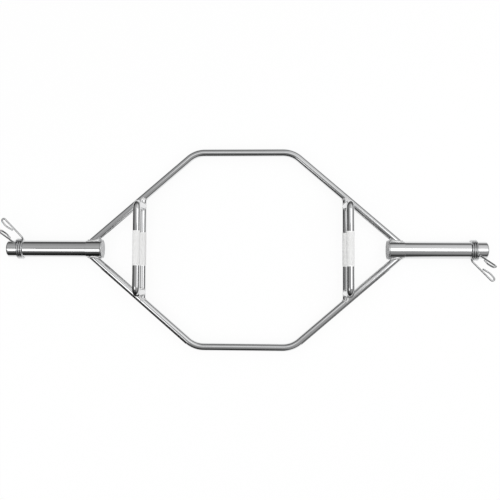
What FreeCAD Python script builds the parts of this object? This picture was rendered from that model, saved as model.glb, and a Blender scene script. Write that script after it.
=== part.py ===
import FreeCAD, Part
import Sketcher
import math
import os

from FreeCAD import Placement, Rotation, Vector

# A hex trap bar: two bent rods make a six-sided ring that a lifter stands in, with a low and a raised
# pair of handles, a plate sleeve at each end and a wire spring collar on each sleeve.
# X runs along the sleeves, Y from the front rod to the rear rod and Z up from the floor.
# The right half is the left half turned half way round Z.

# Driving sizes in millimetres, angles in degrees and counts.
SIZES = {
    # plate sleeves
    "overall_length": 1428,
    "sleeve_diameter": 50,
    "sleeve_wall": 5,
    "plug_lip": 6,
    "plug_spigot": 16,
    "plug_edge": 3,
    # hubs that join the sleeves to the frame
    "hub_diameter": 53,
    "hub_length": 44,
    "hub_edge": 0.4,
    "hub_plate": 5,
    "hub_plate_diameter": 58,
    "hub_plate_edge": 2,
    "hub_plate_spacing": 848,
    # bent frame rods
    "rod_diameter": 22,
    "rail_spacing": 580,
    "corner_spacing": 290,
    "apex_spacing": 965,
    "corner_radius": 75,
    "weld_gap": 0.05,
    # handles and grips
    "handle_spacing": 608,
    "handle_raise": 100,
    "leg_spacing": 257,
    "leg_radius": 18,
    "leg_foot": 8,
    "grip_diameter": 22.8,
    "grip_wall": 2,
    "grip_length": 100,
    "grip_edge": 0.4,
    # spring collars
    "wire_diameter": 5.5,
    "collar_setback": 27,
    "coil_clearance": 0.3,
    "coil_gap": 0.6,
    "coil_flat": 0.5,
    "coil_turns": 3,
    "arm_root": 8,
    "lever_angle": 15,
    "lever_lean_angle": 41,
    "lever_length": 85,
    "stay_angle": 60,
    "stay_lean_angle": 24,
    "stay_length": 73,
    "loop_length": 46,
    "loop_width": 13.4,
    "loop_radius": 5.6,
    "loop_belly_radius": 30,
}

# Places that follow from the driving sizes; the front half of the ring and the left end mirror them.
PLACES = {
    "sleeve_radius": "=sizes.sleeve_diameter / 2",
    "sleeve_bore": "=sizes.sleeve_diameter / 2 - sizes.sleeve_wall",
    "end_x": "=sizes.overall_length / 2",
    "sleeve_end_x": "=sizes.overall_length / 2 - sizes.plug_lip",
    "plug_inner_x": "=sizes.overall_length / 2 - sizes.plug_lip - sizes.plug_spigot",
    "plug_edge_x": "=sizes.overall_length / 2 - sizes.plug_edge",
    "plug_edge_radius": "=sizes.sleeve_diameter / 2 - sizes.plug_edge",
    "plate_x": "=sizes.hub_plate_spacing / 2",
    "plate_edge_x": "=sizes.hub_plate_spacing / 2 + sizes.hub_plate_edge",
    "plate_back_edge_x": "=sizes.hub_plate_spacing / 2 + sizes.hub_plate - sizes.hub_plate_edge",
    "plate_radius": "=sizes.hub_plate_diameter / 2",
    "plate_edge_radius": "=sizes.hub_plate_diameter / 2 - sizes.hub_plate_edge",
    "hub_inner_x": "=sizes.hub_plate_spacing / 2 + sizes.hub_plate",
    "hub_edge_x": "=sizes.hub_plate_spacing / 2 + sizes.hub_plate + sizes.hub_length - sizes.hub_edge",
    "hub_outer_x": "=sizes.hub_plate_spacing / 2 + sizes.hub_plate + sizes.hub_length",
    "hub_radius": "=sizes.hub_diameter / 2",
    "hub_edge_radius": "=sizes.hub_diameter / 2 - sizes.hub_edge",
    "hub_cope_radius": "=sizes.hub_diameter / 2 + sizes.weld_gap",
    "rod_radius": "=sizes.rod_diameter / 2",
    "rod_cope_radius": "=sizes.rod_diameter / 2 + sizes.weld_gap",
    "rail_y": "=sizes.rail_spacing / 2",
    "corner_x": "=sizes.corner_spacing / 2",
    "apex_x": "=sizes.apex_spacing / 2",
    "handle_x": "=sizes.handle_spacing / 2",
    "handle_length": "=sizes.rail_spacing * (sizes.apex_spacing - sizes.handle_spacing)"
                     " / (sizes.apex_spacing - sizes.corner_spacing)",
    "leg_y": "=sizes.leg_spacing / 2",
    "leg_cope_length": "=sizes.leg_spacing + 2 * sizes.rod_diameter",
    "grip_start_y": "=-sizes.grip_length / 2",
    "grip_edge_y": "=sizes.grip_length - sizes.grip_edge",
    "grip_bore": "=sizes.grip_diameter / 2 - sizes.grip_wall",
    "grip_radius": "=sizes.grip_diameter / 2",
    "grip_edge_radius": "=sizes.grip_diameter / 2 - sizes.grip_edge",
    "axis_z": "=sizes.sleeve_diameter / 2 + sizes.coil_clearance + sizes.wire_diameter - sizes.coil_flat",
    "raised_z": "=sizes.sleeve_diameter / 2 + sizes.coil_clearance + sizes.wire_diameter - sizes.coil_flat"
                " + sizes.handle_raise",
}

# Points of a finger loop along the arm and across it, as shares of the loop's length and width.
loop_shoulder_shares = (0.05, 0.82)
loop_belly_shares = (0.48, 1.0)

# Largest share by which a bent wire's volume may differ from its section times its length.
volume_tolerance_share = 0.002
half_turn = 180
full_turn = 360
quarter_turn = 90
points_per_coil = 400

sides = (("left", -1), ("right", 1))

doc = FreeCAD.newDocument("hex_trap_bar")


def fill_sheet(name, cells):
    """Makes a sheet with a row for each named cell."""
    sheet = doc.addObject("Spreadsheet::Sheet", name)
    for row, (alias, content) in enumerate(cells.items(), start=1):
        sheet.set(f"A{row}", alias)
        sheet.set(f"B{row}", str(content))
        sheet.setAlias(f"B{row}", alias)
    doc.recompute()
    return sheet


sizes = fill_sheet("sizes", SIZES)
places = fill_sheet("places", PLACES)
value = {name: float(sizes.get(name)) for name in SIZES}
value.update({name: float(places.get(name)) for name in PLACES})
cell = {name: f"sizes.{name}" for name in SIZES}
cell.update({name: f"places.{name}" for name in PLACES})


# Helpers for bodies and sketches

def new_body(label, x=None, y=None, z="axis_z", side=1):
    """A body at named places from the origin, turned half way round Z on the left side."""
    body = doc.addObject("PartDesign::Body", label)
    body.Label = label
    body.Placement = Placement(Vector(), Rotation(Vector(0, 0, 1), half_turn if side < 0 else 0))
    for axis, name in (("x", x), ("y", y), ("z", z)):
        if name:
            sign = "-" if side < 0 and axis != "z" else ""
            body.setExpression(f"Placement.Base.{axis}", sign + cell[name])
    return body


def origin_feature(body, role):
    return next(feature for feature in body.Origin.OriginFeatures if feature.Role == role)


def new_sketch(body, name, plane):
    sketch = body.newObject("Sketcher::SketchObject", f"{body.Name}_{name}")
    sketch.AttachmentSupport = [(origin_feature(body, plane), "")]
    sketch.MapMode = "FlatFace"
    return sketch


def spot(across, along):
    """A sketch point at two named distances; None is zero."""
    return Vector(value[across] if across else 0, value[along] if along else 0, 0)


def tie(sketch, kind, elements, name):
    """A dimension that follows a sheet's cell."""
    index = sketch.addConstraint(Sketcher.Constraint(kind, *elements, value[name]))
    sketch.setExpression(f"Constraints[{index}]", cell[name])


def hold(sketch, edge, end, across, along):
    """Ties one point of a sketch to its named distances from the sketch's origin."""
    for kind, axis, name in (("DistanceX", -2, across), ("DistanceY", -1, along)):
        if name:
            tie(sketch, kind, (-1, 1, edge, end), name)
        else:
            sketch.addConstraint(Sketcher.Constraint("PointOnObject", edge, end, axis))


def outline(sketch, corners):
    """A closed outline through corners given by their named distances."""
    spots = [spot(*corner) for corner in corners]
    for edge, start in enumerate(spots):
        sketch.addGeometry(Part.LineSegment(start, spots[(edge + 1) % len(spots)]))
    for edge, corner in enumerate(corners):
        sketch.addConstraint(Sketcher.Constraint("Coincident", edge, 2, (edge + 1) % len(corners), 1))
        hold(sketch, edge, 1, *corner)


def circle(sketch, radius, across=None, along=None):
    edge = sketch.addGeometry(Part.Circle(spot(across, along), Vector(0, 0, 1), value[radius]))
    hold(sketch, edge, 3, across, along)
    tie(sketch, "Radius", (edge,), radius)


def bent_path(sketch, start, corner, finish, radius):
    """Two straight runs joined by a tangent bend that turns to the right at the corner."""
    first, middle, last = spot(*start), spot(*corner), spot(*finish)
    before = (middle - first).normalize()
    after = (last - middle).normalize()
    reach = value[radius] * math.tan(before.getAngle(after) / 2)
    bend_start = middle - before * reach
    bend_end = middle + after * reach
    centre = bend_start + Vector(before.y, -before.x, 0) * value[radius]
    angles = [math.atan2(end.y - centre.y, end.x - centre.x) for end in (bend_end, bend_start)]
    sketch.addGeometry(Part.LineSegment(first, bend_start))
    sketch.addGeometry(Part.ArcOfCircle(Part.Circle(centre, Vector(0, 0, 1), value[radius]), *angles))
    sketch.addGeometry(Part.LineSegment(bend_end, last))
    sketch.addGeometry(Part.Point(middle), True)
    sketch.addConstraint(Sketcher.Constraint("Tangent", 0, 2, 1, 2))
    sketch.addConstraint(Sketcher.Constraint("Tangent", 1, 1, 2, 1))
    sketch.addConstraint(Sketcher.Constraint("Horizontal", 0))
    sketch.addConstraint(Sketcher.Constraint("PointOnObject", 3, 1, 0))
    sketch.addConstraint(Sketcher.Constraint("PointOnObject", 3, 1, 2))
    hold(sketch, 0, 1, *start)
    hold(sketch, 2, 2, *finish)
    tie(sketch, "DistanceX", (-1, 1, 3, 1), corner[0])
    tie(sketch, "Radius", (1,), radius)


def turned(body, plane, axis, corners):
    """A solid of revolution from a closed outline."""
    sketch = new_sketch(body, "outline", plane)
    outline(sketch, corners)
    feature = body.newObject("PartDesign::Revolution", f"{body.Name}_turned")
    feature.Profile = sketch
    feature.ReferenceAxis = (origin_feature(body, axis), [""])
    feature.Angle = full_turn
    return feature


def swept(body, profile, path):
    feature = body.newObject("PartDesign::AdditivePipe", f"{body.Name}_swept")
    feature.Profile = profile
    feature.Spine = (path, ["Edge1", "Edge2", "Edge3"])
    return feature


def mirrored(body, feature, plane):
    doc.recompute()
    mirror = body.newObject("PartDesign::Mirrored", f"{body.Name}_mirrored")
    mirror.Originals = [feature]
    mirror.MirrorPlane = (origin_feature(body, plane), [""])
    body.Tip = mirror
    return mirror


def symmetric_cut(body, name, plane, radii, length, across=None, along=None):
    """Cuts away a round bar, or the ring between two radii, equally far to both sides of the sketch plane."""
    sketch = new_sketch(body, f"{name}_outline", plane)
    for radius in radii:
        circle(sketch, radius, across, along)
    cut = body.newObject("PartDesign::Pocket", f"{body.Name}_{name}")
    cut.Profile = sketch
    cut.Type = "Length"
    cut.SideType = "Symmetric"
    cut.setExpression("Length", cell[length])
    return cut


# The frame: two bent rods, each from hub to hub

def frame_rod(label, side):
    body = new_body(label, side=side)
    profile = new_sketch(body, "section", "YZ_Plane")
    circle(profile, "rod_radius", across="rail_y")
    path = new_sketch(body, "path", "XY_Plane")
    bent_path(path, (None, "rail_y"), ("corner_x", "rail_y"), ("apex_x", None), "corner_radius")
    mirrored(body, swept(body, profile, path), "YZ_Plane")
    symmetric_cut(body, "hub_cope", "YZ_Plane", ["hub_cope_radius"], "overall_length")
    return body


# Handles: a straight low bar between the rods and a raised bow welded on it, each with a knurled grip

def grip_seat(body, across=None, along=None):
    """Turns the handle's bar down to the grip's bore over the grip's length."""
    symmetric_cut(body, "grip_seat", "XZ_Plane", ["grip_bore", "rod_diameter"], "grip_length", across, along)


def low_handle(label, side):
    body = new_body(label, side=side)
    section = new_sketch(body, "section", "XZ_Plane")
    circle(section, "rod_radius", across="handle_x")
    pad = body.newObject("PartDesign::Pad", f"{body.Name}_bar")
    pad.Profile = section
    pad.SideType = "Symmetric"
    pad.setExpression("Length", cell["handle_length"])
    cutter = new_sketch(body, "seat", "XY_Plane")
    start, end = spot("corner_x", "rail_y"), spot("apex_x", None)
    along = (end - start).normalize()
    inward = Vector(along.y, -along.x, 0) * value["rod_cope_radius"]
    corners = (start, end, end + inward, start + inward)
    for edge, corner in enumerate(corners):
        cutter.addGeometry(Part.LineSegment(corner, corners[(edge + 1) % len(corners)]))
    for edge in range(len(corners)):
        cutter.addConstraint(Sketcher.Constraint("Coincident", edge, 2, (edge + 1) % len(corners), 1))
    hold(cutter, 0, 1, "corner_x", "rail_y")
    hold(cutter, 0, 2, "apex_x", None)
    cutter.addConstraint(Sketcher.Constraint("Perpendicular", 0, 1))
    cutter.addConstraint(Sketcher.Constraint("Perpendicular", 1, 2))
    cutter.addConstraint(Sketcher.Constraint("Perpendicular", 2, 3))
    tie(cutter, "Distance", (1,), "rod_cope_radius")
    cope = body.newObject("PartDesign::Groove", f"{body.Name}_cope")
    cope.Profile = cutter
    cope.ReferenceAxis = (cutter, ["Edge1"])
    cope.Angle = full_turn
    mirrored(body, cope, "XZ_Plane")
    grip_seat(body, across="handle_x")
    return body


def raised_handle(label, side):
    body = new_body(label, x="handle_x", side=side)
    profile = new_sketch(body, "section", "XZ_Plane")
    circle(profile, "rod_radius", along="handle_raise")
    path = new_sketch(body, "path", "YZ_Plane")
    bent_path(path, (None, "handle_raise"), ("leg_y", "handle_raise"), ("leg_y", "leg_foot"), "leg_radius")
    mirrored(body, swept(body, profile, path), "XZ_Plane")
    symmetric_cut(body, "foot_cope", "XZ_Plane", ["rod_cope_radius"], "leg_cope_length")
    grip_seat(body, along="handle_raise")
    return body


def grip(label, side, height):
    body = new_body(label, x="handle_x", y="grip_start_y", z=height, side=side)
    turned(body, "XY_Plane", "Y_Axis", (
        ("grip_bore", None),
        ("grip_edge_radius", None),
        ("grip_radius", "grip_edge"),
        ("grip_radius", "grip_edge_y"),
        ("grip_edge_radius", "grip_length"),
        ("grip_bore", "grip_length"),
    ))
    return body


# Ends: a hub ring with a closing plate, a sleeve tube through the hub and a plug in the tube's mouth

def hub(label, side):
    body = new_body(label, side=side)
    turned(body, "XZ_Plane", "X_Axis", (
        ("hub_inner_x", "sleeve_radius"),
        ("hub_inner_x", "hub_radius"),
        ("hub_edge_x", "hub_radius"),
        ("hub_outer_x", "hub_edge_radius"),
        ("hub_outer_x", "sleeve_radius"),
    ))
    return body


def hub_plate(label, side):
    body = new_body(label, side=side)
    turned(body, "XZ_Plane", "X_Axis", (
        ("plate_x", None),
        ("plate_x", "plate_edge_radius"),
        ("plate_edge_x", "plate_radius"),
        ("plate_back_edge_x", "plate_radius"),
        ("hub_inner_x", "plate_edge_radius"),
        ("hub_inner_x", None),
    ))
    return body


def sleeve(label, side):
    body = new_body(label, side=side)
    turned(body, "XZ_Plane", "X_Axis", (
        ("hub_inner_x", "sleeve_bore"),
        ("hub_inner_x", "sleeve_radius"),
        ("sleeve_end_x", "sleeve_radius"),
        ("sleeve_end_x", "sleeve_bore"),
    ))
    return body


def sleeve_plug(label, side):
    body = new_body(label, side=side)
    turned(body, "XZ_Plane", "X_Axis", (
        ("plug_inner_x", None),
        ("plug_inner_x", "sleeve_bore"),
        ("sleeve_end_x", "sleeve_bore"),
        ("sleeve_end_x", "sleeve_radius"),
        ("plug_edge_x", "sleeve_radius"),
        ("end_x", "plug_edge_radius"),
        ("end_x", None),
    ))
    return body


# Spring collars: one wire each, wound round the sleeve, with an arm and a finger loop at both ends.
# Angles go round the sleeve from the front towards the top, as seen on the right-hand end.

def arc_edge(start, corner, finish):
    """The circular arc that leaves start and reaches finish along the lines through the corner."""
    chord = finish - start
    bow = math.cos(chord.getAngle(corner - start))
    middle = (start + corner * (2 * bow) + finish) * (1 / (2 + 2 * bow))
    return Part.Arc(start, middle, finish).toShape()


def line_edge(start, finish):
    return Part.LineSegment(start, finish).toShape()


def biarc_edges(start, start_way, finish, finish_way):
    """Two tangent arcs from one point and direction to another."""
    step = finish - start
    ways = start_way + finish_way
    spread = 2 * (1 - start_way.dot(finish_way))
    pull = step.dot(ways)
    reach = (math.sqrt(pull * pull + spread * step.dot(step)) - pull) / spread
    first_corner = start + start_way * reach
    second_corner = finish - finish_way * reach
    joint = (first_corner + second_corner) * 0.5
    return [arc_edge(start, first_corner, joint), arc_edge(joint, second_corner, finish)]


def rounded_edges(points, radii):
    """Straight runs through points, with a tangent arc of its own radius at each inner point."""
    edges = []
    here = points[0]
    for index, radius in enumerate(radii, start=1):
        before = (points[index] - points[index - 1]).normalize()
        after = (points[index + 1] - points[index]).normalize()
        reach = radius * math.tan(before.getAngle(after) / 2)
        bend_start = points[index] - before * reach
        bend_end = points[index] + after * reach
        if not bend_start.isEqual(here, value["weld_gap"]):
            edges.append(line_edge(here, bend_start))
            here = bend_start
        edges.append(arc_edge(here, points[index], bend_end))
        here = bend_end
    edges.append(line_edge(here, points[-1]))
    return edges


def wire_solid(edges):
    """A round wire swept along tangent edges, with its volume compared with section times length."""
    path = Part.Wire(edges)
    first = edges[0]
    start_way = first.tangentAt(first.FirstParameter)
    section = Part.Circle(first.valueAt(first.FirstParameter), start_way, wire_radius)
    solid = path.makePipeShell([Part.Wire(section.toShape())], True, False)
    expected = math.pi * wire_radius ** 2 * path.Length
    if abs(solid.Volume - expected) > volume_tolerance_share * expected:
        raise ValueError(f"a bent wire holds {solid.Volume:.1f} mm3, not {expected:.1f} mm3")
    return solid, path


def around(out, radius, angle):
    """The point at a place along the sleeve, a radius and an angle round it."""
    turn = math.radians(angle)
    return Vector(out, -radius * math.cos(turn), radius * math.sin(turn))


def coil_point(angle):
    return around(coil_start_x + coil_pitch * (angle - coil_start) / full_turn, coil_radius, angle)


def coil_way(angle):
    turn = math.radians(angle)
    rise = coil_pitch / (2 * math.pi)
    return Vector(rise, coil_radius * math.sin(turn), coil_radius * math.cos(turn)).normalize()


wire_radius = value["wire_diameter"] / 2
coil_radius = value["sleeve_radius"] + value["coil_clearance"] + wire_radius
coil_pitch = value["wire_diameter"] + value["coil_gap"]
coil_lead = value["wire_diameter"]
root_angle = math.degrees(math.atan2(coil_lead + value["arm_root"], coil_radius))
coil_start = value["lever_angle"] + root_angle
coil_end = value["stay_angle"] - root_angle + full_turn * value["coil_turns"]
coil_end_x = value["end_x"] - value["collar_setback"] - wire_radius
coil_start_x = coil_end_x - coil_pitch * (coil_end - coil_start) / full_turn


def least_gap(path):
    """The least gap between turns of the wire, measured on points of its centre line."""
    points = path.discretize(Number=points_per_coil)
    apart = int(points_per_coil * quarter_turn / (coil_end - coil_start))
    least = min(
        (points[far] - points[near]).Length
        for near in range(len(points))
        for far in range(near + apart, len(points))
    )
    return least - value["wire_diameter"]


def coil_shape():
    """The turns, with a straight lead of one wire diameter at both ends and a flat underside."""
    steps = round((coil_end - coil_start) / quarter_turn)
    angles = [coil_start + (coil_end - coil_start) * step / steps for step in range(steps + 1)]
    edges = []
    for near, far in zip(angles, angles[1:]):
        edges += biarc_edges(coil_point(near), coil_way(near), coil_point(far), coil_way(far))
    first, last = coil_point(coil_start), coil_point(coil_end)
    edges.insert(0, line_edge(first - coil_way(coil_start) * coil_lead, first))
    edges.append(line_edge(last, last + coil_way(coil_end) * coil_lead))
    solid, path = wire_solid(edges)
    print(f"least gap between the turns of a collar: {least_gap(path):.2f} mm")
    reach = coil_radius + value["wire_diameter"]
    below = Vector(coil_start_x - reach, -reach, -value["axis_z"] - reach)
    floor = Part.makeBox(coil_end_x - coil_start_x + 2 * reach, 2 * reach, reach, below)
    return solid.cut(floor)


def arm_shape(coil_angle, lead_way, angle, lean_angle, length, loop_side):
    """An arm that leaves the coil's lead, leans out along the sleeve and ends in a finger loop."""
    start = coil_point(coil_angle) + lead_way * coil_lead
    root = start + lead_way * value["arm_root"]
    lean = math.radians(lean_angle)
    outward = around(0, 1, angle)
    along = Vector(1, 0, 0) * math.sin(lean) + outward * math.cos(lean)
    across = (Vector(1, 0, 0) * math.cos(lean) - outward * math.sin(lean)) * loop_side
    loop = [(length, 0)]
    for along_share, across_share in (loop_shoulder_shares, loop_belly_shares):
        loop.append((length - value["loop_length"] * along_share, value["loop_width"] * across_share))
    loop.append((length - value["loop_length"], coil_pitch))
    points = [start, root] + [root + along * reach + across * offset for reach, offset in loop]
    root_radius = value["arm_root"] / math.tan(lead_way.getAngle(along) / 2)
    radii = (root_radius, value["loop_radius"], value["loop_radius"], value["loop_belly_radius"])
    return wire_solid(rounded_edges(points, radii))[0]


def wire_piece(label, shape, side):
    piece = doc.addObject("Part::Feature", label)
    piece.Label = label
    piece.Shape = shape
    turn = Rotation(Vector(0, 0, 1), half_turn if side < 0 else 0)
    piece.Placement = Placement(Vector(0, 0, value["axis_z"]), turn)
    return piece


pieces = [frame_rod("front_frame_rod", -1), frame_rod("rear_frame_rod", 1)]
coil = coil_shape()
lever = arm_shape(coil_start, -coil_way(coil_start), value["lever_angle"], value["lever_lean_angle"],
                  value["lever_length"], 1)
stay = arm_shape(coil_end, coil_way(coil_end), value["stay_angle"], value["stay_lean_angle"],
                 value["stay_length"], -1)
for name, side in sides:
    pieces.append(low_handle(f"{name}_low_handle", side))
    pieces.append(raised_handle(f"{name}_raised_handle", side))
    pieces.append(grip(f"{name}_low_grip", side, "axis_z"))
    pieces.append(grip(f"{name}_raised_grip", side, "raised_z"))
    pieces.append(hub(f"{name}_hub", side))
    pieces.append(hub_plate(f"{name}_hub_plate", side))
    pieces.append(sleeve(f"{name}_sleeve", side))
    pieces.append(sleeve_plug(f"{name}_sleeve_plug", side))
    pieces.append(wire_piece(f"{name}_collar_coil", coil, side))
    pieces.append(wire_piece(f"{name}_collar_lever", lever, side))
    pieces.append(wire_piece(f"{name}_collar_stay", stay, side))
doc.recompute()

# Every object has to be whole before anything is written.
for thing in doc.Objects:
    if {"Invalid", "Error"} & set(thing.State):
        raise ValueError(f"{thing.Label} failed: {thing.State}")
for piece in pieces:
    if piece.Shape.isNull() or not piece.Shape.isValid() or len(piece.Shape.Solids) != 1:
        raise ValueError(f"{piece.Label} is not one sound solid")

os.makedirs("parts", exist_ok=True)
for piece in pieces:
    piece.Shape.exportStep(f"parts/{piece.Label}.step")
    print(f"{piece.Label}: {piece.Shape.Volume / 1000:.2f} cm3")
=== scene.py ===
import math

import bpy
import numpy as np
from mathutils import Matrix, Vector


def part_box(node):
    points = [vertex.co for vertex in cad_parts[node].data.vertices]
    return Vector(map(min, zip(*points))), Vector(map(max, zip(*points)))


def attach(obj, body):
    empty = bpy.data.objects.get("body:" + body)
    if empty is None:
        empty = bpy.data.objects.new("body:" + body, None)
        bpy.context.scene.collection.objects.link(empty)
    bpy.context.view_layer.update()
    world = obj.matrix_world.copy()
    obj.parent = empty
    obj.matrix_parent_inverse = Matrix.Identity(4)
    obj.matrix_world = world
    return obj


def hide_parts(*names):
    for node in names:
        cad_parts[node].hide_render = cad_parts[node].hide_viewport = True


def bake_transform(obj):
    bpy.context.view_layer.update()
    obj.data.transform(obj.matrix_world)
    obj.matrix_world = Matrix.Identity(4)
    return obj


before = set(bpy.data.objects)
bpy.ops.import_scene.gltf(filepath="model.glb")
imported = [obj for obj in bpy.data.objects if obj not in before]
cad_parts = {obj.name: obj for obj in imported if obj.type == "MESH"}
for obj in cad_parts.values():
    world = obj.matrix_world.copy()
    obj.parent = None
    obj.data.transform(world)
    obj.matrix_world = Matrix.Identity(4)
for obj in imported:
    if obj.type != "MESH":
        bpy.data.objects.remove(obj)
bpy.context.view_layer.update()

# A chrome hex trap bar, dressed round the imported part. Everything is in metres, in the part's own frame:
# X along the plate sleeves, Y from the front rod to the rear rod, Z up from the floor.

sides = (("left", -1), ("right", 1))
ends = (("front", -1), ("rear", 1))


def measured(node):
    """A CAD node's lowest and highest corner, to a tenth of a millimetre."""
    return [[round(place, 4) for place in corner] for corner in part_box(node)]


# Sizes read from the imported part: its rear rod and its right-hand end
sleeve_low, sleeve_high = measured("right_sleeve")
hub_low, hub_high = measured("right_hub")
cap_low, cap_high = measured("right_hub_plate")
plug_low, plug_high = measured("right_sleeve_plug")
grip_low, grip_high = measured("right_raised_grip")
bow_high = measured("right_raised_handle")[1]
rod_high = measured("rear_frame_rod")[1]
axis_z = (sleeve_low[2] + sleeve_high[2]) / 2
sleeve_radius = (sleeve_high[2] - sleeve_low[2]) / 2
sleeve_end_x = sleeve_high[0]
hub_radius = hub_high[2] - axis_z
hub_inner_x = hub_low[0]
hub_outer_x = hub_high[0]
cap_radius = cap_high[2] - axis_z
cap_x = cap_low[0]
plug_inner_x = plug_low[0]
end_x = plug_high[0]
rod_radius = rod_high[2] - axis_z
rail_y = rod_high[1] - rod_radius
handle_x = (grip_low[0] + grip_high[0]) / 2
raised_z = (grip_low[2] + grip_high[2]) / 2
grip_radius = (grip_high[0] - grip_low[0]) / 2
grip_half = grip_high[1]
leg_y = bow_high[1] - rod_radius

# Frame rods and handles: bends, and where a rod's end starts to fit the bar that it sits on
corner_x = 0.145
apex_x = 0.4825
corner_radius = 0.075
leg_bend_radius = 0.018
rod_cope_y = 0.044
low_bar_reach = 0.126
leg_foot = 0.0135
cope_sink = 0.0004
cope_stock = 0.03

# Knurled grips
grip_edge = 0.0004
grip_sink = 0.0002
knurl_half = 0.0484
knurl_depth = 0.00035
knurl_margin = 0.0004
band_drop = 0.00015
band_brightness = 0.6
diamonds_round = 54
diamonds_along = 60
fade_rows = 2

# Hubs, sleeves and plugs: bores and rounded edges
sleeve_bore = 0.02
bore_sink = 0.0002
plug_clearance = 0.0001
middle_radius = 0.001
hub_edge = 0.0004
cap_edge = 0.0022
plug_edge = 0.005
spigot_edge = 0.0005
hair_edge = 0.00025

# Weld beads: width of the face, and the most that it reaches along the rod and along the seat
hub_weld = (0.006, 0.0055, 0.0044)
bar_weld = (0.0056, 0.0112, 0.007)
leg_weld = (0.0032, 0.0064, 0.0028)
toe_sink = 0.00025
root_sink = 0.0006
widest_gape = 0.999
ripple_length = 0.0027
ripple_lag = 0.55

# Shares of a bead's width that its crown and ripples rise, and how it wanders in a few waves round a joint
crown_share = 0.15
ripple_share = 0.07
crown_lean = 0.2
slow_wander = 0.07
slow_waves = 3
quick_wander = 0.04
quick_waves = 7
wander_shift = 900

# Spring collars. Angles are in degrees.
wire_radius = 0.00275
coil_clearance = 0.0003
coil_gap = 0.0006
collar_setback = 0.027
coil_turns = 3
arm_root = 0.008
lever_angle = 15
lever_lean_angle = 41
lever_length = 0.085
stay_angle = 60
stay_lean_angle = 24
stay_length = 0.073
loop_length = 0.046
loop_width = 0.0134
loop_shares = ((0.05, 0.82), (0.48, 1.0))
loop_radius = 0.0056
loop_belly_radius = 0.03
blend_inset = 0.0006

# How fine the meshes are
rod_sides = 64
turned_sides = 128
wire_sides = 24
bead_steps = 320
bead_points = 9
bead_smoothing = 12
run_step = 0.03
whole_run = 1.0
least_run = 1e-6
arm_step = 0.01
hold_run = 0.004
hold_distance = 0.0008
coil_step = 4
bend_step = math.radians(2.5)
arm_bend_step = math.radians(6)
edge_step = math.radians(18)
sharp_angle = math.radians(30)
grip_edge_turns = np.radians((30, 60, 90))
wire_end_turns = np.radians((25, 50, 72))


# Shapes

def unit(vector):
    return np.asarray(vector, float) / np.linalg.norm(vector)


def unit_rows(rows):
    return rows / np.linalg.norm(rows, axis=1, keepdims=True)


def bent_line(corners, bend_radii, step, turn_step=bend_step):
    """Points and directions along straight runs that are joined by round bends."""
    corners = [np.asarray(corner, float) for corner in corners]
    here = corners[0]
    points, ways = [], []
    for index in range(1, len(corners)):
        before = unit(corners[index] - corners[index - 1])
        bent = index < len(corners) - 1
        after = unit(corners[index + 1] - corners[index]) if bent else before
        turn = math.acos(min(1.0, before @ after)) if bent else 0.0
        radius = bend_radii[index - 1] if bent else 0.0
        reach = radius * math.tan(turn / 2)
        bend_start = corners[index] - before * reach
        run = np.linalg.norm(bend_start - here)
        pieces = max(1, math.ceil(run / step)) if run > least_run else 0
        for piece in range(pieces):
            points.append(here + (bend_start - here) * piece / pieces)
            ways.append(before)
        if bent:
            inward = unit(after - before * (before @ after))
            centre = bend_start + inward * radius
            pieces = max(2, math.ceil(turn / turn_step))
            for piece in range(pieces):
                part = turn * piece / pieces
                points.append(centre + radius * (before * math.sin(part) - inward * math.cos(part)))
                ways.append(before * math.cos(part) + inward * math.sin(part))
        here = corners[index] + after * reach
    points.append(corners[-1])
    ways.append(before)
    return np.array(points), np.array(ways)


def round_sections(points, ways, radii, count):
    """Round sections square to a line, and where their points lie on the straight stock before bending."""
    radii = np.broadcast_to(radii, len(points))
    turn = np.linspace(0, 2 * math.pi, count, endpoint=False)
    run = np.concatenate(([0.0], np.cumsum(np.linalg.norm(np.diff(points, axis=0), axis=1))))
    side = np.eye(3)[np.argmin(np.abs(ways[0]))]
    rings, stock = [], []
    for point, way, radius, distance in zip(points, ways, radii, run):
        side = unit(side - way * (side @ way))
        top = np.cross(way, side)
        rings.append(point + radius * (np.outer(np.cos(turn), side) + np.outer(np.sin(turn), top)))
        stock.append(np.stack((np.full(count, distance), radius * np.cos(turn), radius * np.sin(turn)), 1))
    return np.array(rings), np.array(stock)


def turned_sections(profile):
    """Rings round X through a profile of places along X and radii, and the same rings as the stock."""
    turn = np.linspace(0, 2 * math.pi, turned_sides, endpoint=False)
    rings = np.array([
        np.stack((np.full(turned_sides, along), radius * np.cos(turn), radius * np.sin(turn)), 1)
        for along, radius in profile
    ])
    return rings, rings.copy()


def rounded_profile(corners, radii):
    """A profile with its inner corners rounded, and with a ring close to each bend to hold the shine."""
    flat = [(along, radius, 0.0) for along, radius in corners]
    line = bent_line(flat, radii, whole_run, edge_step)[0]
    held = [line[0]]
    for near, far in zip(line, line[1:]):
        run = np.linalg.norm(far - near)
        if run > hold_run:
            inset = (far - near) * hold_distance / run
            held += [near + inset, far - inset]
        held.append(far)
    return np.array(held)[:, :2]


def skin(rings, looped=False):
    """Points and faces of a skin over rings. A looped skin joins its ends, and another is capped."""
    count, around = rings.shape[:2]
    points = rings.reshape(-1, 3)
    faces = []
    for ring in range(count if looped else count - 1):
        near, far = ring * around, (ring + 1) % count * around
        for place in range(around):
            following = (place + 1) % around
            faces.append((near + place, near + following, far + following, far + place))
    if not looped:
        points = np.vstack((points, rings[0].mean(0), rings[-1].mean(0)))
        last = (count - 1) * around
        for place in range(around):
            following = (place + 1) % around
            faces.append((following, place, len(points) - 2))
            faces.append((last + place, last + following, len(points) - 1))
    return points, faces


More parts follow.
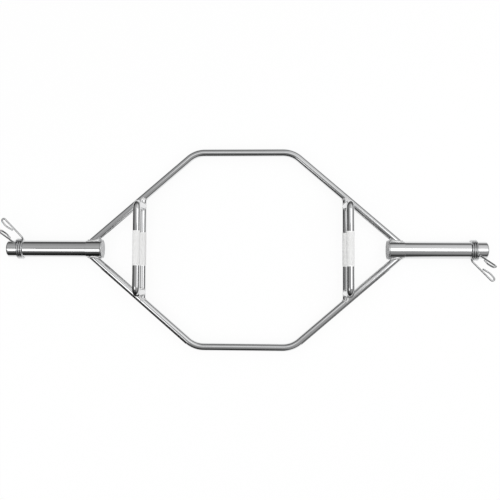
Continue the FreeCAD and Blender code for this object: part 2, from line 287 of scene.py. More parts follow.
def slid_onto(points, way, seat_point, seat_way, seat_radius):
    """Points slid along a direction until they meet a round bar."""
    offset = points - seat_point
    offset = offset - np.outer(offset @ seat_way, seat_way)
    slide = way - seat_way * (way @ seat_way)
    ahead = offset @ slide
    size = slide @ slide
    inside = np.maximum(ahead ** 2 - size * ((offset ** 2).sum(1) - seat_radius ** 2), 0)
    return points + np.outer((-ahead - np.sqrt(inside)) / size, way)


# Shader maths

class Shade:
    """One output of a shader node, for maths that reads as plain Python."""

    def __init__(self, tree, socket=None):
        self.tree = tree
        self.socket = socket

    def add(self, kind, settings, inputs, out=0):
        """Adds any node: its settings first, then the values or links of its sockets."""
        node = self.tree.nodes.new(kind)
        for name, setting in settings.items():
            if name == "stops":
                stops = node.color_ramp.elements
                inner = [stops.new(place) for place, _ in setting[1:-1]]
                for stop, (_, grey) in zip((stops[0], *inner, stops[-1]), setting):
                    stop.color = (grey, grey, grey, 1)
            else:
                setattr(node, name, setting)
        for name, content in inputs.items():
            socket = node.inputs[name]
            if isinstance(content, Shade):
                self.tree.links.new(content.socket, socket)
            else:
                socket.default_value = content
        return Shade(self.tree, node.outputs[out] if len(node.outputs) else None)

    def output(self, name):
        """Another output of the same node."""
        return Shade(self.tree, self.socket.node.outputs[name])

    def math(self, operation, first, second):
        return self.add("ShaderNodeMath", {"operation": operation}, {0: first, 1: second})

    def __add__(self, other):
        return self.math("ADD", self, other)

    def __radd__(self, other):
        return self.math("ADD", other, self)

    def __sub__(self, other):
        return self.math("SUBTRACT", self, other)

    def __rsub__(self, other):
        return self.math("SUBTRACT", other, self)

    def __mul__(self, other):
        return self.math("MULTIPLY", self, other)

    def __rmul__(self, other):
        return self.math("MULTIPLY", other, self)

    def smooth(self, low, high):
        """From 0 below low to 1 above high."""
        return self.add("ShaderNodeMapRange", {"interpolation_type": "SMOOTHSTEP"},
                        {"Value": self, "From Min": low, "From Max": high})

    def ramp(self, stops):
        """A grey that follows this value through stops from 0 to 1."""
        return self.add("ShaderNodeValToRGB", {"stops": stops}, {"Fac": self})

    def stretched(self, scales):
        return self.add("ShaderNodeVectorMath", {"operation": "MULTIPLY"}, {0: self, 1: scales})

    def noise(self, scale, detail):
        return self.add("ShaderNodeTexNoise", {}, {"Vector": self, "Scale": scale, "Detail": detail})

    def mixed(self, first, second):
        """A colour between two, by this factor."""
        return self.add("ShaderNodeMix", {"data_type": "RGBA"}, {0: self, 6: first, 7: second}, out=2)

    def bump(self, depth, under=None):
        inputs = {"Strength": 1.0, "Distance": depth, "Height": self}
        if under is not None:
            inputs["Normal"] = under
        return self.add("ShaderNodeBump", {}, inputs)


def new_finish(name):
    material = bpy.data.materials.new(name)
    material.use_nodes = True
    material.node_tree.nodes.clear()
    return material, Shade(material.node_tree)


def plate_over(start, base, rough, normal, metallic=1.0):
    """Ends a finish in a plated-metal surface."""
    surface = start.add("ShaderNodeBsdfPrincipled", {}, {
        "Base Color": base, "Metallic": metallic, "Roughness": rough, "Normal": normal,
    })
    start.add("ShaderNodeOutputMaterial", {"target": "ALL"}, {"Surface": surface})


def on_stock(start):
    """Where a point lay on the straight stock before bending or turning."""
    return start.add("ShaderNodeAttribute", {"attribute_name": "stock"}, {}, out="Vector")


def rod_chrome():
    """Bright chrome on bent rod: polished round the stock, with a faint wave from bending and buffing."""
    bright = (0.80, 0.805, 0.81, 1)
    hazy = (0.75, 0.755, 0.765, 1)
    material, start = new_finish("rod_chrome")
    stock = on_stock(start)
    wave = stock.stretched((1.0, 2.5, 2.5)).noise(scale=26.0, detail=1.0)
    lines = stock.stretched((1.0, 0.05, 0.05)).noise(scale=2600.0, detail=3.0)
    haze = stock.noise(scale=55.0, detail=4.0).smooth(0.45, 0.8)
    specks = stock.noise(scale=900.0, detail=1.0).smooth(0.70, 0.80)
    rough = 0.035 + 0.03 * lines + 0.05 * haze + 0.10 * specks
    base = (0.7 * haze + 0.3 * lines).mixed(bright, hazy)
    normal = lines.bump(depth=6e-7, under=wave.bump(depth=0.00012))
    plate_over(start, base, rough, normal)
    return material


def sleeve_chrome():
    """Chrome on turned steel: fine rings from the lathe, and thin scuffs that plates leave along it."""
    bright = (0.81, 0.815, 0.82, 1)
    scuffed = (0.72, 0.725, 0.735, 1)
    material, start = new_finish("sleeve_chrome")
    stock = on_stock(start)
    rings = stock.stretched((1.0, 0.02, 0.02)).noise(scale=3400.0, detail=3.0)
    wave = stock.noise(scale=18.0, detail=1.0)
    scuffs = stock.stretched((0.03, 1.0, 1.0)).noise(scale=900.0, detail=4.0).smooth(0.64, 0.72)
    worn = stock.noise(scale=24.0, detail=3.0).smooth(0.42, 0.68)
    haze = stock.noise(scale=70.0, detail=4.0).smooth(0.5, 0.85)
    rough = 0.04 + 0.035 * rings + 0.12 * scuffs * worn + 0.04 * haze
    base = (0.6 * scuffs * worn + 0.4 * haze).mixed(bright, scuffed)
    normal = rings.bump(depth=5e-7, under=wave.bump(depth=0.00008))
    plate_over(start, base, rough, normal)
    return material


def weld_chrome():
    """Chrome over a weld: less bright than the rod, with fine pits."""
    pale = (0.94, 0.94, 0.94, 1)
    pitted = (0.78, 0.78, 0.785, 1)
    material, start = new_finish("weld_chrome")
    place = start.add("ShaderNodeTexCoord", {}, {}, out="Object")
    grain = place.noise(scale=1100.0, detail=3.0)
    pits = place.noise(scale=420.0, detail=1.0).smooth(0.66, 0.76)
    rough = 0.24 + 0.10 * grain + 0.2 * pits
    plate_over(start, pits.mixed(pale, pitted), rough, grain.bump(depth=0.00003), metallic=0.8)
    return material


def knurl_plate():
    """Satin plate on the knurl: rubbed bright on the points, and greyer down in the grooves as painted
    shade.
    """
    groove_shade = (0.89, 0.89, 0.885, 1)
    point = (0.98, 0.98, 0.975, 1)
    material, start = new_finish("knurl_plate")
    height = start.add("ShaderNodeAttribute", {"attribute_name": "knurl_height"}, {}, out="Fac")
    place = start.add("ShaderNodeTexCoord", {}, {}, out="Object")
    grain = place.noise(scale=1500.0, detail=3.0)
    patches = place.noise(scale=60.0, detail=3.0)
    # Painted shade: the colour greys down into the grooves by the knurl's height, and the points are rubbed
    # bright; patches vary it at random.
    rubbed = height.smooth(0.25, 0.95)
    base = (rubbed * (0.75 + 0.5 * patches)).mixed(groove_shade, point)
    rough = 0.36 - 0.10 * rubbed + 0.10 * grain
    plate_over(start, base, rough, grain.bump(depth=0.00003), metallic=0.2)
    return material


def wire_plate():
    """Bright plate on drawn spring wire, with the die's fine lines along it."""
    bright = (0.70, 0.705, 0.71, 1)
    rubbed = (0.58, 0.585, 0.595, 1)
    material, start = new_finish("wire_plate")
    stock = on_stock(start)
    drawn = stock.stretched((0.04, 1.0, 1.0)).noise(scale=2400.0, detail=3.0)
    rubs = stock.noise(scale=120.0, detail=3.0).smooth(0.55, 0.8)
    rough = 0.07 + 0.08 * drawn + 0.12 * rubs
    base = (0.5 * drawn + 0.5 * rubs).mixed(bright, rubbed)
    plate_over(start, base, rough, drawn.bump(depth=1.2e-6))
    return material


finishes = {
    "rod": (rod_chrome(), "chrome_rod"),
    "sleeve": (sleeve_chrome(), "chrome_sleeve"),
    "weld": (weld_chrome(), "chrome_rod"),
    "knurl": (knurl_plate(), "knurled_grip"),
    "wire": (wire_plate(), "spring_wire"),
}


def new_piece(name, points, faces, finish, stock=None):
    """A mesh piece with its finish; stock is where each point was on the straight stock."""
    mesh = bpy.data.meshes.new(name)
    mesh.from_pydata(np.asarray(points).tolist(), [], faces)
    mesh.update()
    mesh.shade_smooth()
    mesh.set_sharp_from_angle(angle=sharp_angle)
    if stock is not None:
        layer = mesh.attributes.new("stock", "FLOAT_VECTOR", "POINT")
        layer.data.foreach_set("vector", np.asarray(stock, np.float32).ravel())
    material, slot = finishes[finish]
    mesh.materials.append(material)
    piece = bpy.data.objects.new(name, mesh)
    bpy.context.scene.collection.objects.link(piece)
    return piece


def ringed_piece(name, rings, stock, finish, looped=False):
    points, faces = skin(rings, looped)
    flat = stock.reshape(-1, 3)
    if not looped:
        flat = np.vstack((flat, stock[0].mean(0), stock[-1].mean(0)))
    return new_piece(name, points, faces, finish, flat)


def turned_about(rings, side):
    """Rings moved from the right end's sleeve axis to the left or right end."""
    return rings * (side, side, 1) + (0, 0, axis_z)


# Seats: the round bars that a rod's end can sit on, each as a point and a direction of its axis

hub_seat = (np.array((0, 0, axis_z)), np.array((1.0, 0, 0)))


def slant_seat(side, end):
    """The frame rod's slanting run at one quarter of the ring."""
    way = unit((side * (corner_x - apex_x), end * rail_y, 0))
    return np.array((side * apex_x, 0, axis_z)), way


def low_bar_seat(side):
    return np.array((side * handle_x, 0, axis_z)), np.array((0, 1.0, 0))


# Frame rods: bent bar from hub to hub, each end coped to sit on the hub

def coped_rings(points, ways, seats, seat_radius):
    """Round sections along a line, with a ring at both ends slid onto the round bars that it sits on."""
    rings, stock = round_sections(points, ways, rod_radius, rod_sides)
    first = slid_onto(rings[0], -ways[0], *seats[0], seat_radius - cope_sink)
    last = slid_onto(rings[-1], ways[-1], *seats[1], seat_radius - cope_sink)
    rings = np.concatenate((first[None], rings, last[None]))
    before, after = stock[0].copy(), stock[-1].copy()
    before[:, 0] -= cope_stock
    after[:, 0] += cope_stock
    return rings, np.concatenate((before[None], stock, after[None]))


def frame_rod(end_name, end):
    rod_cope_x = apex_x - rod_cope_y * (apex_x - corner_x) / rail_y
    corners = [
        (-rod_cope_x, end * rod_cope_y, axis_z), (-corner_x, end * rail_y, axis_z),
        (corner_x, end * rail_y, axis_z), (rod_cope_x, end * rod_cope_y, axis_z),
    ]
    points, ways = bent_line(corners, (corner_radius, corner_radius), run_step)
    rings, stock = coped_rings(points, ways, (hub_seat, hub_seat), hub_radius)
    rod = ringed_piece(f"{end_name}_rod", rings, stock, "rod")
    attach(rod, "bar")
    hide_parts(f"{end_name}_frame_rod")


# Handles: a straight low bar coped between the rods, and a bow on two legs that stand on it

def low_bar(name, side):
    line = [(side * handle_x, -low_bar_reach, axis_z), (side * handle_x, low_bar_reach, axis_z)]
    points, ways = bent_line(line, (), run_step)
    rings, stock = coped_rings(points, ways, (slant_seat(side, -1), slant_seat(side, 1)), rod_radius)
    bar = ringed_piece(f"{name}_low_bar", rings, stock, "rod")
    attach(bar, "bar")
    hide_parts(f"{name}_low_handle")


def raised_bow(name, side):
    x, foot_z = side * handle_x, axis_z + leg_foot
    corners = [(x, -leg_y, foot_z), (x, -leg_y, raised_z), (x, leg_y, raised_z), (x, leg_y, foot_z)]
    points, ways = bent_line(corners, (leg_bend_radius, leg_bend_radius), run_step)
    rings, stock = coped_rings(points, ways, (low_bar_seat(side), low_bar_seat(side)), rod_radius)
    bow = ringed_piece(f"{name}_raised_bow", rings, stock, "rod")
    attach(bow, "bar")
    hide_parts(f"{name}_raised_handle")


def grip_band():
    """Profile of the plain band at a grip's front end: places along Y and radii, up to the knurl."""
    band = grip_radius - band_drop
    profile = [(-grip_half, rod_radius - grip_sink), (-grip_half, band - grip_edge)]
    for turn in grip_edge_turns:
        along = grip_edge * (1 - math.cos(turn))
        down = grip_edge * (1 - math.sin(turn))
        profile.append((-grip_half + along, band - down))
    profile.append((-knurl_half - knurl_margin, band))
    return profile


def diamond_faces(quads, around, first_row, last_row):
    """Quads between two rows split along the diamonds' ridges, and the others as they are."""
    faces = []
    for index, (a, b, c, d) in enumerate(quads):
        row, place = divmod(index, around)
        if not first_row <= row < last_row:
            faces.append((a, b, c, d))
        elif (row - first_row + place) % 2:
            faces += [(a, b, d), (b, c, d)]
        else:
            faces += [(a, b, c), (a, c, d)]
    return faces


def knurled_grip(name, node, side, height):
    """A grip round the handle with a real diamond knurl, whose grooves cross between its points."""
    around, along = 2 * diamonds_round, 2 * diamonds_along
    turn = np.linspace(0, 2 * math.pi, around, endpoint=False)
    band = grip_band()
    knurl = np.linspace(-knurl_half, knurl_half, along + 1)
    places = [y for y, _ in band] + list(knurl) + [-y for y, _ in reversed(band)]
    radii = np.empty((len(places), around))
    heights = np.full((len(places), around), band_brightness)
    for row, (_, radius) in enumerate(band):
        radii[row] = radius
        radii[-1 - row] = radius
    for row in range(along + 1):
        point = (np.arange(around) + row) % 2
        fade = min(1.0, row / fade_rows, (along - row) / fade_rows)
        radii[len(band) + row] = grip_radius - knurl_depth * (1 - point) * fade - band_drop * (1 - fade)
        heights[len(band) + row] = point * fade + band_brightness * (1 - fade)
    rings = np.stack((
        side * handle_x + radii * np.cos(turn),
        np.broadcast_to(np.array(places)[:, None], radii.shape),
        height - radii * np.sin(turn),
    ), 2)
    points, quads = skin(rings, looped=True)
    faces = diamond_faces(quads, around, len(band), len(band) + along)
    grip = new_piece(f"{name}_knurl", points, faces, "knurl")
    # The knurl's height also sets its colour, with painted shade in the grooves.
    layer = grip.data.attributes.new("knurl_height", "FLOAT", "POINT")
    layer.data.foreach_set("value", heights.ravel().astype(np.float32))
    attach(grip, "bar")
    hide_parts(node)


# Welds: a rippled bead round each joint

def weld_line(centre, way, seat, seat_radius):
    """The line round a rod where it meets a round bar, and the directions out from the rod's axis there."""
    turn = np.linspace(0, 2 * math.pi, bead_steps, endpoint=False)
    side = unit(np.cross(way, seat[1]))
    out = np.outer(np.cos(turn), side) + np.outer(np.sin(turn), np.cross(way, side))
    foot = slid_onto(centre + out * rod_radius, way, *seat, seat_radius)
    for _ in range(bead_smoothing):
        foot = (np.roll(foot, 1, 0) + 2 * foot + np.roll(foot, -1, 0)) / 4
    return foot, out


def weld_bead(name, centre, way, seat, seat_radius, sizes):
    """A bead along the line where a rod meets a round bar, its face about as wide all round."""
    face_width, most_on_rod, most_on_seat = sizes
    seat_point, seat_way = seat
    foot, out = weld_line(centre, way, seat, seat_radius)

    # Directions along the joint, up the rod and away over the seat
    along = unit_rows(np.roll(foot, -1, 0) - np.roll(foot, 1, 0))
    up_rod = unit_rows(-way - along * (along @ -way)[:, None])
    from_seat = foot - seat_point
    from_seat = unit_rows(from_seat - np.outer(from_seat @ seat_way, seat_way))
    off_seat = unit_rows(np.cross(from_seat, along))
    off_seat *= np.where((off_seat * out).sum(1) < 0, -1, 1)[:, None]

    # The bead's two toes, which wander a little
    step = np.linalg.norm(np.roll(foot, -1, 0) - foot, axis=1)
    run = np.concatenate(([0.0], np.cumsum(step)[:-1])) / step.sum()
    slow = np.sin(2 * math.pi * slow_waves * run + seat_radius * wander_shift)
    quick = np.sin(2 * math.pi * quick_waves * run)
    wander = 1 + slow_wander * slow + quick_wander * quick
    gape = np.arccos(np.clip((up_rod * off_seat).sum(1), -widest_gape, widest_gape))
    leg = face_width / (2 * np.sin(gape / 2))
    rod_toe = foot + up_rod * (np.minimum(leg, most_on_rod) * wander)[:, None] - out * toe_sink
    seat_toe = foot + off_seat * (np.minimum(leg, most_on_seat) * wander)[:, None] - from_seat * toe_sink

    # Its crown between the toes, with the ripples that the welder's steps leave
    proud = unit_rows(up_rod + off_seat + crown_lean * (out + from_seat))
    ripples = round(step.sum() / ripple_length)
    rings = [foot - proud * root_sink]
    for share in np.linspace(1, 0, bead_points):
        arch = 4 * share * (1 - share)
        ripple = np.abs(np.sin(math.pi * (ripples * run - ripple_lag * arch)))
        rise = face_width * arch * (crown_share + ripple_share * ripple)
        rings.append(rod_toe + (seat_toe - rod_toe) * share + proud * rise[:, None])
    points, faces = skin(np.stack(rings, 1), looped=True)
    bead = new_piece(name, points, faces, "weld")
    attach(bead, "bar")


def weld_quarter(side_name, side, end_name, end):
    """The three beads of one quarter of the ring: rod on hub, low bar on rod, and leg on low bar."""
    name = f"{side_name}_{end_name}"
    slant_point, slant_way = slant_seat(side, end)
    bar_middle, bar_way = low_bar_seat(side)
    leg_top = np.array((side * handle_x, end * leg_y, raised_z))
    downwards = np.array((0, 0, -1.0))
    weld_bead(f"{name}_hub_weld", slant_point, -slant_way, hub_seat, hub_radius, hub_weld)
    weld_bead(f"{name}_bar_weld", bar_middle, end * bar_way, (slant_point, slant_way), rod_radius, bar_weld)
    weld_bead(f"{name}_leg_weld", leg_top, downwards, (bar_middle, bar_way), rod_radius, leg_weld)


# Ends: hub ring, closing plate, sleeve tube and end plug, all turned

def turned_piece(name, node, side, corners, radii, looped):
    """A turned piece of one end; a looped profile is a ring or tube."""
    profile = rounded_profile(corners, radii)
    rings, stock = turned_sections(profile[:-1] if looped else profile)
    piece = ringed_piece(name, turned_about(rings, side), stock, "sleeve", looped)
    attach(piece, "bar")
    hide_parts(node)


def sleeve_end(name, side):
    hub_middle = (hub_inner_x + hub_outer_x) / 2
    hub_bore = sleeve_radius - bore_sink
    turned_piece(f"{name}_hub_ring", f"{name}_hub", side, [
        (hub_middle, hub_radius), (hub_outer_x, hub_radius), (hub_outer_x, hub_bore),
        (hub_inner_x, hub_bore), (hub_inner_x, hub_radius), (hub_middle, hub_radius),
    ], (hub_edge, hair_edge, hair_edge, hair_edge), True)
    turned_piece(f"{name}_hub_cap", f"{name}_hub_plate", side, [
        (cap_x, middle_radius), (cap_x, cap_radius),
        (hub_inner_x, cap_radius), (hub_inner_x, middle_radius),
    ], (cap_edge, cap_edge), False)
    sleeve_middle = (hub_outer_x + sleeve_end_x) / 2
    turned_piece(f"{name}_sleeve_tube", f"{name}_sleeve", side, [
        (sleeve_middle, sleeve_radius), (sleeve_end_x, sleeve_radius), (sleeve_end_x, sleeve_bore),
        (hub_inner_x, sleeve_bore), (hub_inner_x, sleeve_radius), (sleeve_middle, sleeve_radius),
    ], (hair_edge, hair_edge, hair_edge, hair_edge), True)
    spigot_radius = sleeve_bore - plug_clearance
    turned_piece(f"{name}_end_plug", f"{name}_sleeve_plug", side, [
        (plug_inner_x, middle_radius), (plug_inner_x, spigot_radius), (sleeve_end_x, spigot_radius),
        (sleeve_end_x, sleeve_radius), (end_x, sleeve_radius), (end_x, middle_radius),
    ], (spigot_edge, hair_edge, hair_edge, plug_edge), False)


# Spring collars: one wire, wound round the sleeve, with an arm and a finger loop at both ends.
# Angles go round the sleeve from the front towards the top, as seen on the right-hand end.

coil_radius = sleeve_radius + coil_clearance + wire_radius
coil_pitch = 2 * wire_radius + coil_gap
coil_lead = 2 * wire_radius
root_angle = math.degrees(math.atan2(coil_lead + arm_root, coil_radius))
coil_start = lever_angle + root_angle
coil_end = stay_angle - root_angle + 360 * coil_turns
coil_end_x = end_x - collar_setback - wire_radius
coil_start_x = coil_end_x - coil_pitch * (coil_end - coil_start) / 360


def round_sleeve(x, radius, angle):
    """A point round the sleeve's axis."""
    turn = math.radians(angle)
    return np.array((x, -radius * math.cos(turn), radius * math.sin(turn)))


def coil_point(angle):
    return round_sleeve(coil_start_x + coil_pitch * (angle - coil_start) / 360, coil_radius, angle)


def coil_way(angle):
    turn = math.radians(angle)
    return unit((coil_pitch / (2 * math.pi), coil_radius * math.sin(turn), coil_radius * math.cos(turn)))


def arm_line(coil_angle, lead_way, angle, lean_angle, length, loop_side):
    """The arm's centre line from half way along the coil's straight lead to the end of its finger loop."""
    start = coil_point(coil_angle) + lead_way * coil_lead / 2
    root = coil_point(coil_angle) + lead_way * (coil_lead + arm_root)
    lean = math.radians(lean_angle)
    endward = np.array((1.0, 0, 0))
    outward = round_sleeve(0, 1, angle)
    along = endward * math.sin(lean) + outward * math.cos(lean)
    across = (endward * math.cos(lean) - outward * math.sin(lean)) * loop_side
    loop = [(length, 0.0)]
    loop += [(length - loop_length * back, loop_width * wide) for back, wide in loop_shares]
    loop.append((length - loop_length, coil_pitch))
    points = [start, root] + [root + along * reach + across * offset for reach, offset in loop]
    points[-1] = points[-1] - unit(points[-1] - points[-2]) * wire_radius
    turn = math.acos(lead_way @ along)
    root_radius = arm_root / math.tan(turn / 2)
    radii = (root_radius, loop_radius, loop_radius, loop_belly_radius)
    return bent_line(points, radii, arm_step, arm_bend_step)


def collar_wire():
    """Sections of the whole wire from the lever's loop to the stay's, and the two places where it parts."""
    lever, lever_ways = arm_line(coil_start, -coil_way(coil_start), lever_angle, lever_lean_angle,
                                 lever_length, loop_side=1)
    stay, stay_ways = arm_line(coil_end, coil_way(coil_end), stay_angle, stay_lean_angle,
                               stay_length, loop_side=-1)
    angles = np.linspace(coil_start, coil_end, round((coil_end - coil_start) / coil_step) + 1)
    coil = [coil_point(angle) for angle in angles]
    coil_ways = [coil_way(angle) for angle in angles]
    points = np.vstack((lever[::-1], coil, stay))
    ways = np.vstack((-lever_ways[::-1], coil_ways, stay_ways))
    radii = np.full(len(points), wire_radius)

    # Both ends of the wire are domed
    dome = wire_end_turns
    tail = [points[0] - ways[0] * wire_radius * math.sin(part) for part in dome[::-1]]
    tip = [points[-1] + ways[-1] * wire_radius * math.sin(part) for part in dome]
    points = np.vstack((tail, points, tip))
    ways = np.vstack(([ways[0]] * len(dome), ways, [ways[-1]] * len(dome)))
    radii = np.concatenate((wire_radius * np.cos(dome[::-1]), radii, wire_radius * np.cos(dome)))
    rings, stock = round_sections(points, ways, radii, wire_sides)

    # The coil is flat underneath, where the bar rests on the floor
    rings[:, :, 2] = np.maximum(rings[:, :, 2], -axis_z)
    coil_first = len(dome) + len(lever) - 1
    return rings, stock, coil_first, coil_first + len(coil) + 1


def spring_collar(name, side, wire):
    rings, stock, coil_first, coil_last = wire
    rings = turned_about(rings, side)
    turns = slice(coil_first, coil_last + 1)
    lever = ringed_piece(f"{name}_lever_arm", rings[:coil_first + 1], stock[:coil_first + 1], "wire")
    coil = ringed_piece(f"{name}_coil_turns", rings[turns], stock[turns], "wire")
    stay = ringed_piece(f"{name}_stay_arm", rings[coil_last:], stock[coil_last:], "wire")
    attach(lever, f"{name}_collar_arm")
    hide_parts(f"{name}_collar_lever")
    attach(stay, f"{name}_collar")
    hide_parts(f"{name}_collar_stay")
    side * (coil_start_x + wire_radius + blend_inset)
    side * (coil_end_x - wire_radius - blend_inset)
    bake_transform(coil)
    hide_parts(f"{name}_collar_coil")


for end_name, end in ends:
    frame_rod(end_name, end)
wire = collar_wire()
for side_name, side in sides:
    low_bar(side_name, side)
    raised_bow(side_name, side)
    knurled_grip(f"{side_name}_low", f"{side_name}_low_grip", side, axis_z)
    knurled_grip(f"{side_name}_raised", f"{side_name}_raised_grip", side, raised_z)
    sleeve_end(side_name, side)
    spring_collar(side_name, side, wire)
    for end_name, end in ends:
        weld_quarter(side_name, side, end_name, end)


# Studio: a white floor, three soft boxes overhead, and a grey room and some cards that only the chrome sees

floor_reach = 8.0
floor_paint = 0.9
floor_glow = 0.9
soft_box_height = 1.53
card_lift = 0.001
inner_card_corners = ((0.404, -0.045), (0.32, -0.118), (0.32, 0.118), (0.404, 0.045))
hub_card_near = 0.405
hub_card_far = 0.423
hub_card_half = 0.03
bar_card_height = 0.062
coil_card_height = 0.11

# Greys of the room that the chrome sees, from front (0) to rear (1) on both sides, and what is left of them
# from left (0) to right (1), at the horizon and at the front right
left_room_stops = ((0, 0.0), (0.06, 0.06), (0.14, 0.15), (0.25, 0.23), (0.40, 0.36), (0.50, 0.43),
                   (0.68, 0.53), (0.80, 0.46), (0.92, 0.38), (1, 0.34))
right_room_stops = ((0, 0.08), (0.06, 0.15), (0.14, 0.33), (0.35, 0.36), (0.50, 0.50), (0.68, 0.72),
                    (0.80, 0.74), (0.92, 0.66), (1, 0.58))
sideways_stops = ((0, 0.25), (0.12, 0.60), (0.27, 0.85), (0.38, 0.88), (0.46, 1.0), (0.88, 1.0), (1, 0.8))
horizon_shade = 0.25
front_right_shade = 0.5
room_floor = 0.93

# Light of the room on matt surfaces, from the horizon up
horizon_light = 0.12
overhead_light = 1.2


def floor_finish():
    material, start = new_finish("studio_floor")
    camera = start.add("ShaderNodeLightPath", {}, {}, out="Is Camera Ray")
    seen = (camera + camera.output("Is Transmission Ray")).smooth(0.0, 1.0)
    paint = start.add("ShaderNodeBsdfDiffuse", {}, {"Color": (floor_paint, floor_paint, floor_paint, 1)})
    glow = start.add("ShaderNodeEmission", {}, {"Color": (1, 1, 1, 1), "Strength": 1.0})
    surface = start.add("ShaderNodeMixShader", {}, {0: seen * floor_glow, 1: paint, 2: glow})
    start.add("ShaderNodeOutputMaterial", {"target": "ALL"}, {"Surface": surface})
    return material


def stage_piece(name, corners, height, material):
    """A flat piece of the studio, which isn't part of the object."""
    mesh = bpy.data.meshes.new(name)
    mesh.from_pydata([(x, y, height) for x, y in corners], [], [tuple(range(len(corners)))])
    mesh.materials.append(material)
    piece = bpy.data.objects.new(name, mesh)
    bpy.context.scene.collection.objects.link(piece)
    return piece


def rectangle(low, high):
    """Corners of a rectangle between its lowest and highest corner."""
    return [low, (high[0], low[1]), high, (low[0], high[1])]


def studio_floor():
    """A wide white floor. The chrome sees the room's own lower half instead of it."""
    corners = rectangle((-floor_reach, -floor_reach), (floor_reach, floor_reach))
    floor = stage_piece("studio_floor", corners, 0, floor_finish())
    floor.visible_glossy = False


def studio_room():
    """White to the camera, plain light on matt surfaces, and to the chrome a room: grey behind, dark in
    front, lighter to the right, dark along the horizon and pale on the floor."""
    world = bpy.data.worlds.new("studio_room")
    world.use_nodes = True
    world.node_tree.nodes.clear()
    start = Shade(world.node_tree)
    way = start.add("ShaderNodeTexCoord", {}, {}, out="Generated")
    x = start.add("ShaderNodeSeparateXYZ", {}, {0: way})
    y, z = x.output("Y"), x.output("Z")
    rearward = 0.5 + 0.5 * y
    rightward = 0.5 + 0.5 * x
    right_half = x.smooth(-0.05, 0.3)
    left_room = rearward.ramp(left_room_stops)
    right_room = rearward.ramp(right_room_stops)
    room = left_room + (right_room - left_room) * right_half
    room = room * rightward.ramp(sideways_stops)
    room = room * (horizon_shade + (1 - horizon_shade) * z.smooth(0.08, 0.45))
    front_right = (0.66 * x - 0.75 * y).smooth(0.8, 0.97)
    room = room * (1 - front_right_shade * front_right)
    far_left = (0 - x).smooth(0.7, 0.9)
    floor_rise = 0.26 * right_half * (0 - y).smooth(0.0, 0.5) - 0.4 * far_left
    below = (floor_rise - z).smooth(0.18, 0.5)
    room = room + (room_floor - room) * below
    plain = horizon_light + overhead_light * z.smooth(0.0, 1.0)
    glossy = start.add("ShaderNodeLightPath", {}, {}, out="Is Glossy Ray")
    seen = (glossy.output("Is Camera Ray") + glossy.output("Is Transmission Ray")).smooth(0.0, 1.0)
    level = seen + (1 - seen) * (glossy * room + (1 - glossy) * plain)
    light = start.add("ShaderNodeBackground", {}, {"Color": (1, 1, 1, 1), "Strength": level})
    start.add("ShaderNodeOutputWorld", {"target": "ALL"}, {"Surface": light})
    bpy.context.scene.world = world


def soft_box(name, x, y, width, depth, brightness):
    """A soft light with straight sides that faces the floor."""
    lamp = bpy.data.lights.new(name, "AREA")
    lamp.shape = "RECTANGLE"
    lamp.size = width
    lamp.size_y = depth
    lamp.energy = brightness * math.pi * width * depth
    light = bpy.data.objects.new(name, lamp)
    light.location = (x, y, soft_box_height)
    light.visible_camera = False
    bpy.context.scene.collection.objects.link(light)


def chrome_card(name, corners, height, kind, inputs):
    """A flat card that only the chrome sees, with one plain shader."""
    material, start = new_finish(name)
    surface = start.add(kind, {}, inputs)
    start.add("ShaderNodeOutputMaterial", {"target": "ALL"}, {"Surface": surface})
    card = stage_piece(name, corners, height, material)
    card.visible_camera = False
    card.visible_diffuse = False
    card.visible_shadow = False
    card.visible_transmission = False


def floor_card(name, corners, grey):
    """A grey card that lies on the floor."""
    chrome_card(name, corners, card_lift, "ShaderNodeBsdfDiffuse", {"Color": (grey, grey, grey, 1)})


def rod_card(name, side, end, near, far, grey):
    """A card on the floor beside a slanting rod. Its near and far corners are measured from the point of
    the ring: along the rod's axis, then outwards from it."""
    seat, way = slant_seat(side, end)
    out = np.array((side * end * way[1], -side * end * way[0], 0))
    floor_card(name, [(seat + way * along + out * wide)[:2] for along, wide in rectangle(near, far)], grey)


def inner_card(name, side, grey):
    """A card on the floor between a low bar and its hub."""
    floor_card(name, [(side * x, y) for x, y in inner_card_corners], grey)


def hub_card(name, side, grey):
    """A card on the floor inside a hub, for the shade under its cap."""
    corners = rectangle((hub_card_near, -hub_card_half), (hub_card_far, hub_card_half))
    floor_card(name, [(side * x, y) for x, y in corners], grey)


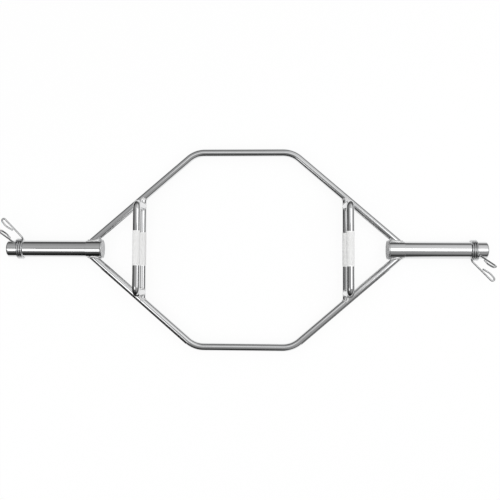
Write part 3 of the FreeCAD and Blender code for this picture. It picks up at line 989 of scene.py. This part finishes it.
def bright_card(name, low, high, height, brightness):
    """A small glowing card close over a piece of chrome."""
    inputs = {"Color": (1, 1, 1, 1), "Strength": brightness}
    chrome_card(name, rectangle(low, high), height, "ShaderNodeEmission", inputs)


def overhead_camera():
    """Straight above the ring, tipped a little, where the photograph was taken from."""
    lens = bpy.data.cameras.new("overhead_camera")
    lens.sensor_width = 36.0
    lens.lens = 49.241
    lens.shift_x = 0.04
    lens.shift_y = -0.02
    camera = bpy.data.objects.new("overhead_camera", lens)
    camera.location = (0.06016, -0.06316, 2.0703)
    camera.rotation_euler = [math.radians(angle) for angle in (2.5726, 2.8190, 0.3094)]
    bpy.context.scene.collection.objects.link(camera)
    bpy.context.scene.camera = camera


studio_floor()
studio_room()
soft_box("left_soft_box", x=-1.08, y=-0.66, width=0.76, depth=0.86, brightness=1.4)
soft_box("right_soft_box", x=1.14, y=0.05, width=0.92, depth=0.86, brightness=1.4)
soft_box("rear_soft_box", x=0.1, y=0.42, width=1.0, depth=0.5, brightness=0.48)
rod_card("left_front_card", side=-1, end=-1, near=(0.07, 0.02), far=(0.42, 0.5), grey=0.02)
rod_card("right_front_card", side=1, end=-1, near=(0.07, 0.02), far=(0.42, 0.5), grey=0.2)
rod_card("left_rear_card", side=-1, end=1, near=(0.1, 0.13), far=(0.36, 0.5), grey=0.02)
rod_card("right_rear_card", side=1, end=1, near=(0.1, 0.13), far=(0.36, 0.5), grey=0.02)
inner_card("left_inner_card", side=-1, grey=0.3)
inner_card("right_inner_card", side=1, grey=0.6)
hub_card("left_hub_card", side=-1, grey=0.8)
hub_card("right_hub_card", side=1, grey=0.55)
bright_card("left_bar_card", (-0.322, -0.115), (-0.298, 0.115), bar_card_height, brightness=0.9)
bright_card("left_coil_card", (-0.81, -0.026), (-0.64, -0.006), coil_card_height, brightness=1.4)
bright_card("right_coil_card", (0.64, -0.014), (0.80, 0.014), coil_card_height, brightness=1.4)
overhead_camera()
bpy.context.scene.view_settings.view_transform = "Standard"
